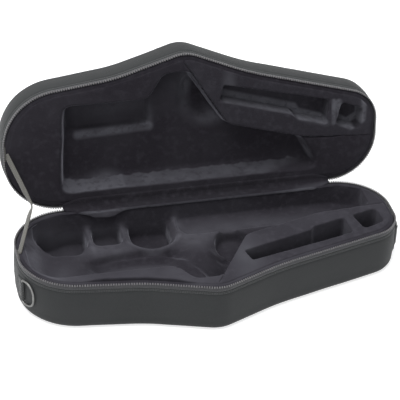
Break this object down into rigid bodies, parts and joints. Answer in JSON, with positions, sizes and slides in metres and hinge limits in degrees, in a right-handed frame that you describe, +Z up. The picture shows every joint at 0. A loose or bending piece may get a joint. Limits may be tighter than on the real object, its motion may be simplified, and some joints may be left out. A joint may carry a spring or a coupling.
{
  "type": "alto saxophone case",
  "caption": "Shaped zip case for an alto saxophone: two foam half shells on a fabric hinge, with moulded plush inserts, stay strap, strap rings and a carry handle.",
  "frame": {"origin": "centre of the base's flat underside, in line with the middle of the straight hinge side and the bell bulge", "axes": "+Z up, +X along the case towards the narrow right end, +Y towards the hinge side; the lid stands open"},
  "size_m": [0.6686, 0.3724, 0.3517],
  "materials": {
    "outer_nylon": "matt woven nylon",
    "shell_foam": "stiff foam board",
    "plush_lining": "short soft plush",
    "zip_tape": "woven tape",
    "zip_teeth": "moulded coil",
    "zip_metal": "dark lacquered zinc",
    "webbing": "ribbed webbing",
    "ring_metal": "bright plated wire",
    "grip_rubber": "moulded rubber",
    "handle_steel": "black painted steel",
    "bracket_steel": "plated steel"
  },
  "bodies": {
    "base": {"base_cover": "outer_nylon", "base_shell": "shell_foam", "base_insert": "plush_lining", "base_accessory_block": "plush_lining", "base_zip_tape": "zip_tape", "base_zip_teeth": "zip_teeth", "base_zip_stops": "zip_metal", "base_stay_anchor": "webbing", "hinge_cover": "outer_nylon", "hinge_lining": "plush_lining", "stay_strap": "webbing", "d_ring_tab_left": "webbing", "d_ring_tab_right": "webbing", "zip_slider_left": "zip_metal", "zip_slider_right": "zip_metal", "handle_brackets": "bracket_steel", "handle_backing_plates": "bracket_steel", "handle_pins": "bracket_steel", "handle_rivets": "bracket_steel"},
    "lid": {"lid_cover": "outer_nylon", "lid_shell": "shell_foam", "lid_insert": "plush_lining", "lid_accessory_block": "plush_lining", "lid_zip_tape": "zip_tape", "lid_zip_teeth": "zip_teeth", "lid_zip_stops": "zip_metal", "lid_stay_anchor": "webbing"},
    "d_ring_left": {"d_ring_left": "ring_metal"},
    "d_ring_right": {"d_ring_right": "ring_metal"},
    "zip_pull_left": {"zip_pull_left": "zip_metal"},
    "zip_pull_right": {"zip_pull_right": "zip_metal"},
    "handle": {"handle_core": "handle_steel", "handle_grip": "grip_rubber"}
  },
  "joints": [
    {"name": "lid_hinge", "type": "hinge", "parent": "base", "child": "lid", "pos_m": [0, 0.132, 0.091], "axis": [-1, 0, 0], "range_deg": [-99, 9], "deforming": ["hinge_cover", "hinge_lining", "stay_strap"]},
    {"name": "d_ring_left_swing", "type": "hinge", "parent": "base", "child": "d_ring_left", "pos_m": [-0.32636, -0.02477, 0.046], "axis": [0, 0, -1], "range_deg": [0, 140]},
    {"name": "d_ring_right_swing", "type": "hinge", "parent": "base", "child": "d_ring_right", "pos_m": [0.33393, 0.015, 0.046], "axis": [0, 0, -1], "range_deg": [0, 140]},
    {"name": "zip_pull_left_swing", "type": "hinge", "parent": "base", "child": "zip_pull_left", "pos_m": [-0.2185, 0.1366, 0.0845], "axis": [1, 0, 0], "range_deg": [0, 60]},
    {"name": "zip_pull_right_swing", "type": "hinge", "parent": "base", "child": "zip_pull_right", "pos_m": [0.2285, 0.1366, 0.0845], "axis": [1, 0, 0], "range_deg": [0, 60]},
    {"name": "handle_swing", "type": "hinge", "parent": "base", "child": "handle", "pos_m": [0, 0.143, 0.062], "axis": [1, 0, 0], "range_deg": [0, 95]}
  ]
}
